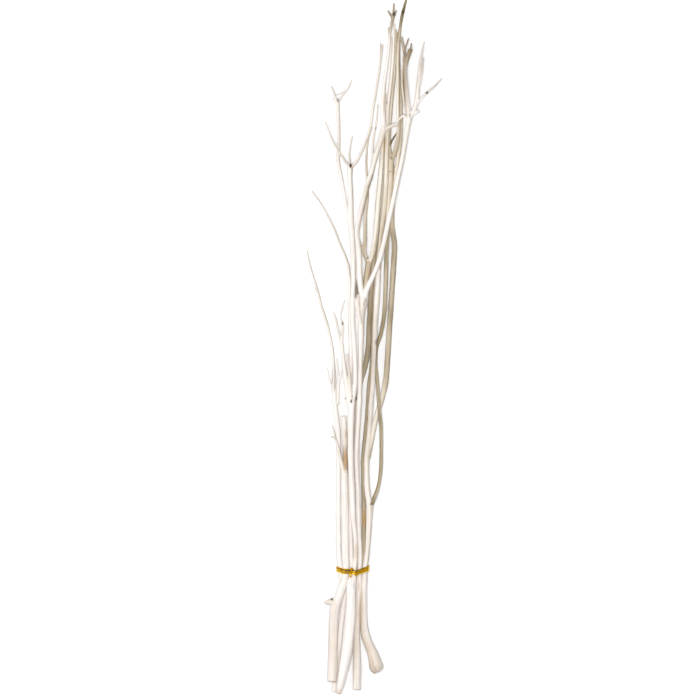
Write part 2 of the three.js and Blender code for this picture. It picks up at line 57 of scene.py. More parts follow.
# Each limb: node name, then its main route, then the small side twigs that grow from it.
# Rows are x, y, z and diameter in mm.
LIMBS = [
    ("left_butt", [
        (-29, 20, 17.5, 13.6), (-27.8, 60, 14, 13.6), (-26.8, 100, 12, 13.4),
        (-25.4, 122, 12.5, 13.6), (-19, 141, 13, 12.8), (-13.6, 158, 13.8, 11.6)], [
        [(-22, 130.5, 12.6, 12), (-26, 132.8, 12.8, 13.2), (-29.8, 133.9, 13, 11.6),
            (-34, 133.8, 13.4, 8.2), (-38.6, 133.2, 13.6, 4.4)],
    ]),
    ("inner_stem", [
        (-13.6, 156, 13.8, 10.5), (-10.2, 168, 15.2, 10.4), (-8.6, 180, 15.7, 10.4),
        (-9.6, 200, 16, 11), (-10, 240, 16.5, 11.4), (-10.2, 270, 16.5, 11),
        (-10.8, 295, 16.5, 10.4), (-11, 320, 16.2, 10)], [
    ]),
    ("inner_cut_arm", [
        (-10.6, 318, 15, 8), (-9.6, 335, 12.8, 7.6), (-9.8, 352, 12, 7.6),
        (-10.8, 376, 12.6, 7.8), (-12.2, 402, 14.6, 8.2)], [
    ]),
    ("inner_hooked_twig", [
        (-11.6, 318, 16.6, 6.6), (-14.6, 332, 17.2, 5.6), (-17.6, 346, 17, 4.6),
        (-20.4, 358, 16.6, 3.9), (-24, 369, 16.6, 3.4), (-29.5, 371.5, 17, 2.4)], [
        [(-23.2, 364, 16.6, 2.8), (-25.5, 378, 17, 2.4), (-28, 388, 17.4, 2)],
    ]),
    ("left_arm", [
        (-13.8, 156, 13, 8), (-15.4, 169, 10.4, 7.8), (-16.3, 180, 9.2, 7.8),
        (-18.8, 202, 9.2, 8), (-19.5, 250, 8.6, 8), (-19.4, 300, 7.2, 7.8), (-19, 350, 5.6, 7.5),
        (-20, 380, 4.8, 7.3), (-22.5, 402, 4.3, 7.2), (-25.2, 424, 3.8, 7.1),
        (-26, 440, 3.9, 7.6)], [
        [(-27, 436, 4, 4), (-31, 448, 5.5, 3.6), (-34, 460, 7, 3.2), (-36, 471, 8, 2.6)],
        [(-20, 418, 4, 3.4), (-19.6, 435, 4, 3), (-19, 455, 4.6, 2.8), (-22, 484, 5.5, 2.2)],
        [(-19.4, 446, 4.4, 2.6), (-16, 460, 5.4, 2.2), (-13, 472, 6.4, 2)],
        [(-27, 436, 6, 4.2), (-27, 452, 9.4, 3.8), (-27, 476, 11.4, 3.4)],
    ]),
    ("left_long_twig", [
        (-26, 440, 4.2, 5.6), (-25, 452, 5, 5), (-27.4, 484, 6.5, 4.8), (-29.2, 502, 7, 4.6),
        (-34.5, 528, 7.6, 4.4), (-38.6, 543, 8, 4.2), (-44.5, 561, 8.2, 4), (-49, 580, 8.2, 3.8),
        (-56, 603, 8.4, 3.2), (-61.5, 623, 8.8, 2.8), (-64.5, 640, 9.2, 2)], [
        [(-49, 578, 8.2, 2.6), (-53, 586, 9.5, 2.2)],
    ]),
    ("middle_butt", [
        (-19, 2, 13, 7), (-17, 16, 13, 11.5), (-13, 35, 13.2, 14), (-8, 60, 13.6, 16),
        (-5.7, 80, 14, 16.4), (-3.5, 100, 14.4, 15.8), (-1.6, 130, 15.6, 14.2),
        (-1.4, 147, 16.2, 12.8)], [
    ]),
    ("middle_high_arm", [
        (1.2, 142, 17, 7.4), (2.2, 158, 18.4, 7), (3, 169, 19.6, 6.9), (3.2, 180, 19.8, 7),
        (5.4, 200, 20, 6.4), (4.5, 230, 20.2, 6.2), (1.6, 260, 19.6, 7.2), (0, 300, 19.2, 8.4),
        (-2, 350, 18.6, 8.8), (-1.6, 400, 18, 9), (-0.5, 422, 17.8, 9.8)], [
        [(-4, 414, 18, 4), (-8, 421, 18.5, 3.2), (-9.8, 427, 19, 2.4)],
    ]),
    ("middle_low_arm", [
        (-3.4, 142, 16, 8.2), (-4, 157, 14.8, 7.8), (-2.2, 169, 12.8, 7.3),
        (-0.5, 180, 12.1, 7.2), (-1.2, 200, 12, 7), (-2, 222, 12, 7), (-3, 260, 10.4, 7),
        (-3, 340, 9, 7), (-2.5, 400, 9, 7), (-2, 445, 9.4, 7), (-1.5, 482, 11, 6.8),
        (-1.8, 515, 12, 6.6), (-3.4, 560, 12, 5.6), (-3.8, 602, 12.2, 4.6)], [
    ]),
    ("slanting_twig", [
        (-3.8, 600, 12.2, 4.2), (-5.6, 620, 12.6, 3.6), (-10, 633, 13, 3.4),
        (-16, 647, 13.4, 3.3), (-25, 670, 14, 3.2), (-36, 692, 14.8, 2.9), (-45, 708, 15.6, 2.5),
        (-58, 726, 16.5, 1.9)], [
    ]),
    ("left_fork", [
        (-1.5, 420, 18, 7.5), (-5.5, 431, 18.2, 6.8), (-7.6, 445, 18.4, 6.4),
        (-10.2, 466, 18.6, 5.8), (-12.8, 488, 18.8, 5), (-15, 508, 19, 4.4)], [
    ]),
    ("left_fork_outer_tip", [
        (-15.2, 507, 19, 3.4), (-18.5, 521, 19.3, 3), (-22.3, 538, 19.6, 2.8), (-26, 551, 20, 2)], [
    ]),
    ("left_fork_inner_tip", [
        (-14.6, 507, 19, 3.2), (-13.5, 521, 19.2, 2.8), (-13.6, 535, 19.6, 3.2),
        (-16.2, 543, 19.8, 2.4), (-14, 557, 20, 2.2), (-10, 569, 20.4, 1.8)], [
    ]),
    ("middle_spur", [
        (-0.8, 422, 19.5, 6), (-2, 440, 20.6, 5.2), (-3.2, 457, 21, 4.4), (-5, 472, 21.2, 3.6),
        (-7, 491, 21.4, 2.4)], [
    ]),
    ("upright", [
        (0, 421, 18, 7.5), (3.2, 438, 18.2, 6.8), (4.8, 458, 18.2, 6.6), (3.8, 492, 18.2, 6.8),
        (1.6, 528, 18.2, 6.8), (0.6, 556, 18.2, 6.6), (2, 600, 18, 6.8), (1.6, 630, 17.8, 7),
        (0.6, 652, 17.6, 7.6), (-1.2, 671, 17.6, 8.4)], [
    ]),
    ("upright_left", [
        (-1.4, 669, 17.8, 6), (-5, 686, 18, 5.2), (-8, 700, 18, 4.8), (-11.4, 722, 18, 4.8),
        (-17.6, 755, 18, 5), (-20.2, 770, 18, 5.4), (-19, 792, 18, 5), (-19.5, 822, 18, 5.2),
        (-20.6, 846, 18, 5.6), (-21, 857, 18, 6)], [
        [(-21, 852, 18, 4), (-26, 866, 18.4, 3.6), (-29.5, 875.5, 18.8, 2.6)],
        [(-20.5, 852, 18, 3.8), (-13.4, 864, 18.6, 3.4), (-7, 871, 19, 3), (0, 886, 19.6, 2)],
        [(-9.6, 869, 18.8, 2.4), (-15, 865.6, 20, 2.4), (-21.6, 863.6, 21, 2)],
        [(-21, 850, 18, 4.4), (-23.6, 854, 18.4, 4), (-27, 858, 18.6, 3.4)],
    ]),
    ("upright_right", [
        (-1.2, 669, 17.4, 8), (-1.4, 690, 17, 7.8), (-1.8, 715, 16.8, 7.4), (-3, 742, 16.8, 7),
        (-2.6, 762, 17, 8)], [
        [(-2, 758, 17.5, 3.4), (-4, 778, 18.5, 2.8), (-2, 793, 19.5, 2.4), (0.5, 804, 20.5, 2)],
    ]),
    ("crossing_twig", [
        (-3, 760, 18, 4.4), (-8.5, 766, 20.5, 3.6), (-15, 776, 22.6, 3.2), (-22, 787, 23, 3),
        (-30, 803, 22.6, 2.8), (-38.5, 825, 22.2, 2)], [
    ]),
    ("long_bowed_twig", [
        (-1.6, 760, 17.4, 4.6), (3.4, 764, 18, 4.2), (10, 774, 18.4, 3.8),
        (18.5, 793, 18.8, 3.7), (26.5, 818, 19.2, 3.7), (30.4, 845, 19.6, 3.7),
        (35, 872, 20, 3.7), (39.8, 904, 20.2, 3.6), (44, 935, 20.6, 2.4)], [
        [(40.4, 908, 20.2, 2.4), (40.8, 924, 21.4, 2), (41, 938, 22, 1.8)],
    ]),
    ("centre_butt", [
        (7, 7.5, 6.1, 12), (7.2, 30, 6.1, 12.1), (7, 52, 6, 11.8), (6.6, 85, 6, 10),
        (8, 110, 6.4, 9.4), (9, 132, 8.2, 8.8), (9.8, 148, 10, 9)], [
    ]),
    ("centre_stem", [
        (9.6, 146, 10.8, 7.6), (10, 166, 13.2, 7.7), (10.6, 180, 14.2, 7.6),
        (11.5, 200, 14.6, 6.8), (10.2, 230, 14.4, 6.4), (9, 260, 14, 6.4), (8.3, 292, 13.4, 6.4),
        (6.5, 345, 12.2, 7.4), (9, 398, 12, 7), (10.6, 428, 12.4, 8.6)], [
    ]),
    ("shaded_stem", [
        (10.4, 146, 9, 6.6), (13, 163, 6.4, 6.4), (15.6, 180, 6.8, 6.4), (16.6, 205, 5, 6.6),
        (17, 260, 3.8, 6.8), (16.6, 300, 3.6, 7), (16.6, 342, 3.6, 7.1), (20.4, 380, 3.7, 7.3),
        (23.2, 414, 3.75, 7.5), (25.2, 445, 3.7, 7.4), (28.6, 474, 3.6, 7.1),
        (30.4, 512, 3.4, 6.6), (31, 560, 3.4, 6.4)], [
    ]),
    ("shaded_stem_upper", [
        (31, 558, 3.4, 6.4), (34.4, 608, 3.4, 6.3), (38.4, 655, 3.4, 6.2), (43, 690, 3.6, 6.2),
        (46, 722, 3.8, 5.8), (48.4, 760, 3.8, 5.4), (49, 800, 3.6, 5), (49.6, 835, 3.4, 4.4),
        (49.4, 865, 3.4, 3.2)], [
    ]),
    ("centre_arm", [
        (10.7, 427, 12.8, 7.4), (11.6, 458, 13.6, 6.8), (12.5, 490, 14.4, 7.2),
        (12.8, 520, 15, 8.4), (14, 550, 16, 9), (16.4, 573, 17, 10.4)], [
        [(17.5, 556, 17, 4.4), (21, 564, 17.4, 3.4)],
        [(12.6, 536, 17, 7), (9.4, 553, 18.6, 6.6), (8.6, 577, 19.6, 5.8)],
        [(9.8, 550, 18.4, 4.2), (5.8, 560, 18, 3.6), (3.9, 571, 18, 3)],
        [(10.4, 556, 15, 5), (7.4, 570, 13.4, 5), (6.4, 583, 12.8, 4.6), (5.2, 599, 12.6, 2.6)],
    ]),
    ("crown_left", [
        (15.6, 571, 17.4, 8.2), (12.4, 588, 18.4, 7.8), (11, 606, 19, 8.2), (10.4, 628, 19.4, 8),
        (8.8, 648, 19.6, 7.3), (7.2, 664, 19.6, 6.8), (9.4, 680, 19.4, 7), (14, 699, 19.2, 7.2),
        (18.4, 717, 19, 7.2), (22, 733, 19, 7.4), (26, 746, 19, 8.2)], [
    ]),
    ("crown_left_top", [
        (26, 745, 19, 7.2), (29.4, 758, 19, 7), (34, 775, 19, 7.1), (39, 791, 19, 7.6),
        (43.4, 805, 18.8, 8), (45.6, 818, 18.4, 8.4)], [
        [(46, 812, 18.4, 6), (55, 818, 18.4, 4.8), (65, 822, 18.6, 4)],
        [(27.6, 750, 18.4, 3), (29.4, 774, 17, 2.8), (30.4, 799, 15.6, 2.7),
            (34.6, 821, 15, 2.6), (37.4, 850, 14.6, 2)],
    ]),
    ("crown_left_tip", [
        (45.6, 816, 18, 7.2), (44.6, 834, 17.6, 7.6), (44.6, 854, 17.2, 7.2),
        (46, 878, 16.8, 5.4), (50, 905, 16.4, 4.8), (52.6, 930, 16, 4.4), (55, 955, 15.8, 4.2),
        (59.6, 978, 15.6, 5)], [
        [(58.4, 974, 15.6, 3.4), (52, 984.5, 16.4, 2.6)],
        [(59.4, 976, 15.8, 3.4), (60.2, 995, 17, 2.4)],
        [(60, 975, 15.4, 3), (64, 985, 15.8, 2.2)],
        [(53, 938, 16, 3), (52.6, 960, 17, 2.6)],
    ]),
    ("crown_middle", [
        (16.8, 571, 16.4, 7.6), (18.6, 588, 15.4, 7.4), (21, 604, 14, 8), (24, 622, 12.8, 9.4)], [
    ]),
    ("crown_middle_left", [
        (23.6, 620, 12.8, 6.6), (18.2, 637, 12.2, 6), (18.8, 655, 12, 5.8),
        (18.8, 680, 11.4, 5.4), (20, 700, 11, 5), (22.4, 718, 10.4, 4.2), (21.2, 748, 9.6, 3.2),
        (20.6, 772, 9.4, 3), (23.6, 800, 9.6, 2.7), (29, 818, 10, 2)], [
        [(17.6, 632, 12.4, 3.6), (13.4, 644, 13.4, 3), (10.5, 656, 14.4, 2.4)],
    ]),
    ("crown_middle_right", [
        (24.4, 620, 12.8, 7.4), (29.4, 634, 12.8, 7.2), (33, 652, 12.6, 7), (35.4, 678, 12.2, 7),
        (37.4, 705, 12.2, 6.9), (40.4, 740, 12.2, 6.5), (42.6, 768, 11.6, 6),
        (44.4, 795, 10.4, 5.6), (47.6, 830, 9.8, 5), (53, 868, 9.6, 4.4), (56.4, 900, 9.6, 4),
        (57.6, 932, 10, 3.2), (56, 948, 10.4, 2.2)], [
    ]),
    ("crown_right", [
        (17.6, 572, 17.8, 8), (23, 588, 19, 7.2), (31, 605, 20.2, 6.8), (39.4, 627, 21, 6.7),
        (45.8, 651, 21.2, 6.7), (51.4, 678, 21.2, 6.6), (58, 706, 21, 6.5),
        (64.4, 737, 20.6, 6.5), (70, 761, 20, 6.5), (75.6, 790, 19, 6.6), (79.6, 814, 18.4, 7),
        (83, 831, 18, 8.4)], [
        [(80, 827, 18, 4.4), (74, 834, 18.2, 3.8), (66, 827.5, 18.6, 3)],
    ]),
    ("crown_right_left_arm", [
        (82.4, 830, 17.8, 6.4), (78.8, 842, 17, 5.8), (75, 860, 15.6, 5.4), (72.8, 882, 14.4, 5),
        (73.4, 900, 13.6, 4.8), (76.2, 916, 13, 4.6), (74.4, 931, 12.8, 4.2),
        (71, 946, 12.6, 3.8)], [
        [(73.6, 912, 14.6, 3), (76.4, 929, 16, 2.6), (81.4, 945, 17.4, 2)],
    ]),
    ("crown_right_cut_arm", [
        (83, 830, 18.2, 6.8), (80.2, 848, 18.6, 6.8), (77.4, 874, 19, 6.8), (76, 898, 19.4, 6.4),
        (78.4, 912, 19.6, 6.2), (84.2, 929, 19.8, 6.4)], [
        [(84.2, 924, 19.8, 2.8), (85.2, 937, 20.4, 2)],
    ]),
    ("crown_right_outer_arm", [
        (83.8, 831, 18, 6.6), (89, 841, 18, 6.2), (92.8, 856, 18, 6), (94.6, 874, 18, 5.2),
        (97.2, 903, 18.2, 3.8), (99.4, 919, 18.4, 3.2), (104, 940, 18.8, 2)], [
        [(87.5, 835, 18, 4.4), (95.5, 840, 18.6, 3.6)],
        [(95.4, 872, 18, 3.6), (99.6, 890, 17.4, 3), (103, 917, 17, 2)],
    ]),
    ("far_right_twig", [
        (94, 851, 18, 3.8), (100, 859, 18.4, 3.2), (108, 867, 18.6, 3.6), (119, 876, 19, 2.6),
        (129, 887, 19.6, 1.9)], [
    ]),
    ("right_butt", [
        (38.6, 35.2, 10.2, 17.2), (36.4, 38.2, 10.3, 19.8), (34.6, 42, 10.3, 20.2),
        (32.4, 50.6, 9.7, 17.8), (29.4, 60, 9.2, 15), (25.2, 70, 9, 13.6), (21, 80.6, 9, 13.2),
        (18.2, 93, 9.2, 12.2), (16.9, 112, 9.8, 10.6), (16.7, 132, 10.6, 9.8),
        (17.2, 151, 11.6, 9), (18, 167, 12.4, 8), (18.3, 180, 12.4, 7.8), (21.8, 204, 12.6, 7),
        (23.8, 232, 13, 7.8), (25.4, 260, 13, 9.2), (26, 274, 13, 10)], [
    ]),
    ("right_upright", [
        (25.6, 272, 13, 8.4), (22, 297, 13, 8), (21.2, 320, 13, 7.6), (21.4, 342, 13, 7.6),
        (25, 380, 13.4, 6.6), (27.4, 420, 14, 6.6), (29.6, 445, 14.4, 6.6), (31, 480, 14.6, 6.6),
        (33, 522, 13.6, 7), (36, 575, 12, 7.8), (38, 612, 11, 7.4)], [
    ]),
    ("right_upright_top", [
        (38, 611, 11, 7), (41.4, 655, 10.6, 6.4), (44, 680, 10.6, 6.4), (47, 702, 10.8, 6.4),
        (48.8, 732, 11, 6.2), (49.6, 765, 11.4, 6), (50.4, 800, 12, 5.6), (51.6, 842, 12.4, 5),
        (55.6, 880, 12.8, 4.6), (58.8, 915, 13, 4.2), (60.4, 948, 13, 3.6), (61, 966, 13, 2.6)], [
    ]),
    ("bowed_arm", [
        (26.6, 272, 13, 7.4), (30.8, 281, 13.2, 6.2), (35, 291, 13.4, 5.8),
        (39.2, 306, 13.8, 5.5), (41.6, 326, 14.2, 5.4), (42.2, 350, 14.6, 5.3),
        (41.8, 386, 15.2, 5.3), (39.6, 408, 15.6, 5.2), (37.8, 430, 12.4, 5.1),
        (36.2, 455, 9, 5.2), (34, 478, 8, 5.4), (35, 499, 8, 5.6), (41.4, 520, 8.8, 6),
        (46.2, 547, 9.2, 6.2), (48.6, 598, 9.2, 6.3), (49.8, 640, 9, 6.3)], [
    ]),
    ("bowed_arm_top", [
        (49.8, 638, 9, 6.3), (51.6, 675, 9, 6.4), (54.4, 715, 9.4, 6.6), (56.4, 745, 9.8, 7),
        (57, 771, 10, 8)], [
    ]),
    ("dark_fork_left", [
        (56.6, 769, 10, 5.8), (54, 788, 8.2, 5), (54.4, 815, 7, 4.6), (57, 850, 6.4, 4.4),
        (61, 890, 6.4, 4.2), (63, 930, 7, 3.8), (63.4, 958, 7.4, 2.8)], [
        [(54, 790, 9, 2.6), (59, 801, 11, 2.4), (66, 811, 12.6, 2.2)],
    ]),
    ("dark_fork_right", [
        (57.4, 769, 10.4, 6), (62, 783, 11.4, 5.8), (65.8, 800, 12, 5.6), (67, 822, 12.4, 5.4),
        (66, 850, 12.6, 5), (66.4, 882, 12.8, 4.6), (66, 914, 12.8, 4), (67, 940, 12.6, 3)], [
    ]),
    ("outer_arm", [
        (22.4, 341, 12.4, 7.6), (26.6, 360, 11.6, 7.6), (32, 388, 10, 7.6), (38, 410, 8.6, 7.8),
        (44.2, 431, 7.4, 8), (48.6, 452, 6.4, 8.2), (51.2, 484, 5.2, 8.2), (53.6, 520, 4.5, 8.1),
        (57.4, 580, 4.1, 8), (60.6, 628, 4.1, 8.1), (61.4, 648, 4.4, 8.2), (58.2, 670, 5.4, 8)], [
    ]),
    ("outer_arm_top", [
        (58.2, 668, 5.4, 7.6), (57.6, 694, 6.6, 7), (60, 720, 7.4, 6.9), (63.4, 748, 7.8, 6.8),
        (67.4, 780, 8, 6.4), (70.4, 812, 8, 6), (70.6, 845, 8, 5.6), (68.4, 880, 8, 5.2),
        (67.4, 915, 8, 4.8), (68.2, 950, 8.2, 4.6), (71, 972, 8.6, 4.4), (74, 986, 9, 4.4),
        (79, 1005, 9.4, 3)], [
    ]),
    ("rear_butt", [
        (-25.8, 3.5, 4.2, 8.2), (-24.6, 18, 4.2, 8.2), (-21.4, 45, 4.2, 8.2),
        (-18.8, 70, 4.2, 8.1), (-16, 100, 4.4, 8), (-12.6, 127, 5, 7.9), (-9, 152, 5.8, 7.7),
        (-5.5, 180, 7.2, 7.5), (-2.4, 215, 4.4, 7.5), (0, 250, 3.8, 7.5)], [
    ]),
    ("rear_stem", [
        (0, 248, 3.8, 7.5), (2, 300, 3.75, 7.5), (4.6, 350, 3.7, 7.4), (6.8, 395, 3.7, 7.3),
        (8.4, 428, 3.7, 7.2), (11.8, 449, 3.7, 7.2), (18.4, 471, 3.6, 7.4), (23, 498, 3.8, 7.8),
        (25.4, 545, 4, 7.8)], [
    ]),
    ("rear_stem_upper", [
        (25.4, 543, 4, 7.4), (26.6, 570, 4.8, 6.8), (28.8, 600, 6.6, 6.2), (31.2, 630, 6.4, 5.8),
        (33.4, 662, 5.8, 5.5), (35.6, 700, 5.4, 5.2), (38.8, 740, 5, 4.6), (41.4, 775, 4.6, 3.4)], [
    ]),
]

# The pieces: name, slot, CAD nodes.
BRANCHES = [
    ("left_stem", "bleached_wood", [
        "left_butt", "inner_stem", "inner_cut_arm", "inner_hooked_twig", "left_arm",
        "left_long_twig"]),
    ("middle_stem", "bleached_wood", [
        "middle_butt", "middle_high_arm", "middle_low_arm", "slanting_twig", "left_fork",
        "left_fork_outer_tip", "left_fork_inner_tip", "middle_spur", "upright", "upright_left",
        "upright_right", "crossing_twig", "long_bowed_twig"]),
    ("centre_stem_pale", "bleached_wood", [
        "centre_butt", "centre_stem", "centre_arm", "crown_left", "crown_left_top",
        "crown_left_tip", "crown_right", "crown_right_left_arm", "crown_right_cut_arm",
        "crown_right_outer_arm", "far_right_twig"]),
    ("centre_stem_shaded", "shaded_wood", [
        "shaded_stem", "shaded_stem_upper", "crown_middle", "crown_middle_left",
        "crown_middle_right"]),
    ("right_stem_pale", "bleached_wood", ["right_butt", "right_upright"]),
    ("right_stem_shaded", "shaded_wood", [
        "right_upright_top", "bowed_arm", "bowed_arm_top", "dark_fork_left",
        "dark_fork_right", "outer_arm", "outer_arm_top"]),
    ("rear_stem_pale", "bleached_wood", ["rear_butt"]),
    ("rear_stem_shaded", "shaded_wood", ["rear_stem", "rear_stem_upper"]),
]

# How brown a limb is along its length, partly the wood's own colour and partly painted shade where
# the limb lies in the shade of others: y in mm, tone from 0, bleached white, to 1, dark brown,
# and how much painted shade darkens its right-hand side (its left-hand side when negative).
TONES = {
    "left_butt": [(20, 0.08, 0.06), (120, 0.08, 0.08), (150, 0.08, 0.1)],
    "middle_butt": [(0, -0.06, 0.03)],
    "centre_butt": [(10, 0.08, 0), (60, 0.12, -0.1), (90, 0.2, -0.05), (140, 0.12, -0.05)],
    "right_butt": [
        (40, 0.24, -0.08), (60, 0.2, -0.1), (90, 0.18, -0.22), (130, 0.18, -0.22), (165, 0.12, 0),
        (200, 0.1, 0.15), (250, 0.16, 0.15)],
    "rear_butt": [(0, -0.05, 0)],
    "inner_cut_arm": [(322, 0.3, 0.1), (336, 0.5, 0.1), (352, 0.46, 0.1), (366, 0.22, 0.1),
                      (400, 0.12, 0.1)],
    "inner_hooked_twig": [(320, 0.1, 0.1), (350, 0.25, 0.2)],
    "left_arm": [(160, -0.04, 0.08), (400, 0.0, 0.15)],
    "left_long_twig": [(450, 0.1, 0.25), (600, 0.16, 0.2), (640, 0.3, 0)],
    "slanting_twig": [(610, 0.16, 0.2), (650, 0.26, 0)],
    "left_fork": [(430, 0.08, 0.2), (500, 0.16, 0.2)],
    "left_fork_outer_tip": [(510, 0.22, 0)],
    "left_fork_inner_tip": [(510, 0.2, 0)],
    "middle_spur": [(425, 0.22, 0.25), (490, 0.22, 0)],
    "upright": [(425, 0.04, 0.15), (660, 0.06, 0.2)],
    "upright_left": [(670, 0.06, 0.2), (850, 0.12, 0.15)],
    "upright_right": [(670, 0.06, 0.25), (755, 0.12, 0.3)],
    "crossing_twig": [(760, 0.22, 0.1)],
    "long_bowed_twig": [(760, 0.18, 0.12), (930, 0.22, 0.1)],
    "middle_low_arm": [(200, -0.03, 0), (400, 0.0, 0.05), (500, 0.06, 0.1)],
    "centre_stem": [(150, 0.0, 0.05), (400, 0.06, 0.2)],
    "centre_arm": [(430, 0.08, 0.25), (560, 0.1, 0.2)],
    "crown_left": [
        (575, 0.06, 0.12), (660, 0.08, 0.2), (690, 0.22, 0.35), (735, 0.32, 0.35),
        (750, 0.22, 0.3)],
    "crown_left_top": [(750, 0.15, 0.2), (810, 0.12, 0.1)],
    "crown_left_tip": [(820, 0.04, 0.2), (940, 0.08, 0.2), (975, 0.5, 0)],
    "crown_middle": [(575, 0.4, -0.2), (620, 0.45, -0.1)],
    "crown_middle_left": [(620, 0.35, -0.1), (680, 0.28, 0.25), (800, 0.24, 0.1)],
    "crown_middle_right": [(620, 0.25, 0.2), (660, 0.12, 0.35), (740, 0.06, 0.25), (900, 0.04, 0.2)],
    "crown_right": [(575, 0.03, 0.1), (830, 0.05, 0.2)],
    "crown_right_left_arm": [
        (835, 0.08, -0.3), (870, 0.14, -0.25), (905, 0.3, 0.1), (925, 0.55, 0), (945, 0.5, 0)],
    "crown_right_cut_arm": [
        (830, 0.08, 0.1), (855, 0.26, -0.35), (885, 0.48, -0.35), (905, 0.52, -0.1),
        (915, 0.62, 0.1), (930, 0.72, 0)],
    "crown_right_outer_arm": [(835, 0.06, -0.1), (870, 0.12, -0.15), (930, 0.25, 0)],
    "far_right_twig": [(850, 0.1, 0), (885, 0.3, 0)],
    "shaded_stem": [(190, 0.3, 0), (240, 0.42, 0), (330, 0.46, 0), (420, 0.58, 0), (520, 0.58, 0)],
    "shaded_stem_upper": [(560, 0.5, 0), (700, 0.3, 0.1), (860, 0.15, 0)],
    "right_upright": [(280, 0.08, 0.1), (360, 0.18, 0), (500, 0.3, -0.1), (560, 0.1, 0.1)],
    "right_upright_top": [(615, 0.2, 0.2), (690, 0.35, 0.1), (760, 0.14, 0.2), (860, 0.04, 0.25)],
    "bowed_arm": [
        (275, 0.75, 0), (290, 0.52, -0.2), (400, 0.5, -0.15), (480, 0.5, 0), (505, 0.75, 0),
        (530, 0.62, -0.1), (570, 0.5, 0), (640, 0.5, 0)],
    "bowed_arm_top": [(640, 0.5, 0), (700, 0.32, 0.2), (770, 0.35, 0.1)],
    "dark_fork_left": [(770, 0.4, 0), (830, 0.2, 0.25), (950, 0.28, 0.2)],
    "dark_fork_right": [(770, 0.4, 0), (830, 0.16, 0.25), (940, 0.3, 0.2)],
    "outer_arm": [
        (345, 0.25, 0), (375, 0.08, 0.15), (420, 0.12, 0.2), (450, 0.4, 0.1), (600, 0.5, 0.05)],
    "outer_arm_top": [
        (670, 0.42, 0.1), (760, 0.22, 0.2), (820, 0.14, 0.2), (880, 0.34, 0.15), (955, 0.5, 0),
        (985, 0.85, 0), (1005, 0.6, 0)],
    "rear_stem": [(250, 0.18, 0), (400, 0.28, 0), (440, 0.52, 0), (545, 0.58, 0)],
    "rear_stem_upper": [(560, 0.58, 0), (650, 0.35, 0), (740, 0.2, 0)],
}
# the default: nearly white, with a little painted shade on the right-hand side
PLAIN_TONE = [(0, 0.05, 0.08)]
TWIG_TONE = 0.08  # side twigs are a little browner than their limb
DARK_TWIG = "dark_fork_left"  # its side twig kept its dark bark
DARK_TONE = 0.95

# Dark knots and broken-off stubs, and painted shade in the crotches where limbs part: x, y, how wide
# and how long in mm, and how dark.
KNOTS_AND_CROTCH_SHADE = [
    (-29, 138, 2, 2, 0.8), (-1.2, 423, 1.5, 3, 0.85), (0.4, 430, 1, 3, 0.5), (6.4, 427, 1.6, 4, 0.6),
    (-9.5, 427, 1.6, 1.6, 0.6), (-13.6, 535, 1.8, 2.6, 0.7), (-2, 762, 2.2, 3.6, 1),
    (0.6, 767, 1.6, 2.6, 0.9), (60.4, 980, 2.2, 3.4, 0.9), (73.6, 984, 2.6, 4, 0.9),
    (108, 867, 2.4, 2.6, 0.8), (34.6, 816, 1.6, 2, 0.7), (83, 834, 1.6, 3, 0.5),
    (27.4, 275, 2.6, 2.2, 0.5), (22, 629, 2.4, 2.4, 0.5), (57, 773, 2.2, 2.6, 0.5),
    (35, 508, 2.6, 5, 0.45), (38, 516, 1.2, 1.6, 0.4), (55, 754, 1.6, 1.6, 0.5),
    (71, 910, 1.6, 1.6, 0.5), (50.4, 853, 1.4, 4, 0.4), (29.6, 748, 1.4, 3, 0.5),
    (17, 563, 2, 2.6, 0.25), (22, 398, 1.4, 5, 0.35), (-24, 369, 1.2, 1.4, 0.4),
    (-28.4, 458, 1.5, 15, 0.45), (6.4, 583, 2.6, 14, 0.6), (-20.4, 856, 2.2, 3.4, 0.6),
    (84, 929, 2.6, 3, 0.4), (2.6, 158, 1.4, 10, 0.35), (-19.4, 1, 2, 2, 0.5),
]

# Ochre and orange stains where the bark clung, and ochre and orange painted shade on limb sides and
# in
# gaps lying in the shade of other limbs: columns as for the knots.
STAINS_AND_SHADE = [
    (-28, 70, 9, 70, 0.16), (7, 50, 7, 50, 0.08), (28, 62, 15, 62, 0.16),
    (12.5, 120, 3.4, 34, 0.26), (6, 206, 2.4, 14, 0.5), (17.6, 254, 3, 13, 0.75),
    (-10, 338, 3.4, 15, 0.6), (7, 178, 3, 12, 0.35), (-9, 376, 1.6, 6, 0.5),
    (24, 606, 3, 8, 0.4), (-18, 5, 4, 5, 0.35), (36, 39, 4, 5, 0.3), (46, 796, 3, 12, 0.4),
    (45.6, 850, 1.6, 14, 0.4), (9.6, 156, 1.6, 9, 0.5),
]

BUTTS = ["left_butt", "middle_butt", "centre_butt", "right_butt", "rear_butt"]  # sawn first end
STUBS = ["inner_cut_arm", "centre_arm", "crown_right_cut_arm"]  # sawn last end

THINNEST = 1.7  # mm, the least diameter of a twig
SCAR_SHARE = 0.05  # how much a leaf scar swells the limb, and how long it is in mm
SCAR_LENGTH = 2.4
# Swellings that follow each other along a limb: share of the radius and mm per radian.
SWELLINGS = [(0.018, 9.0), (0.012, 4.1)]
# Ridges along the grain: share of the radius, how many around, and their turn in radians per m.
RIDGES = [(0.022, 5, 45), (0.016, 9, -61), (0.012, 2, 170)]


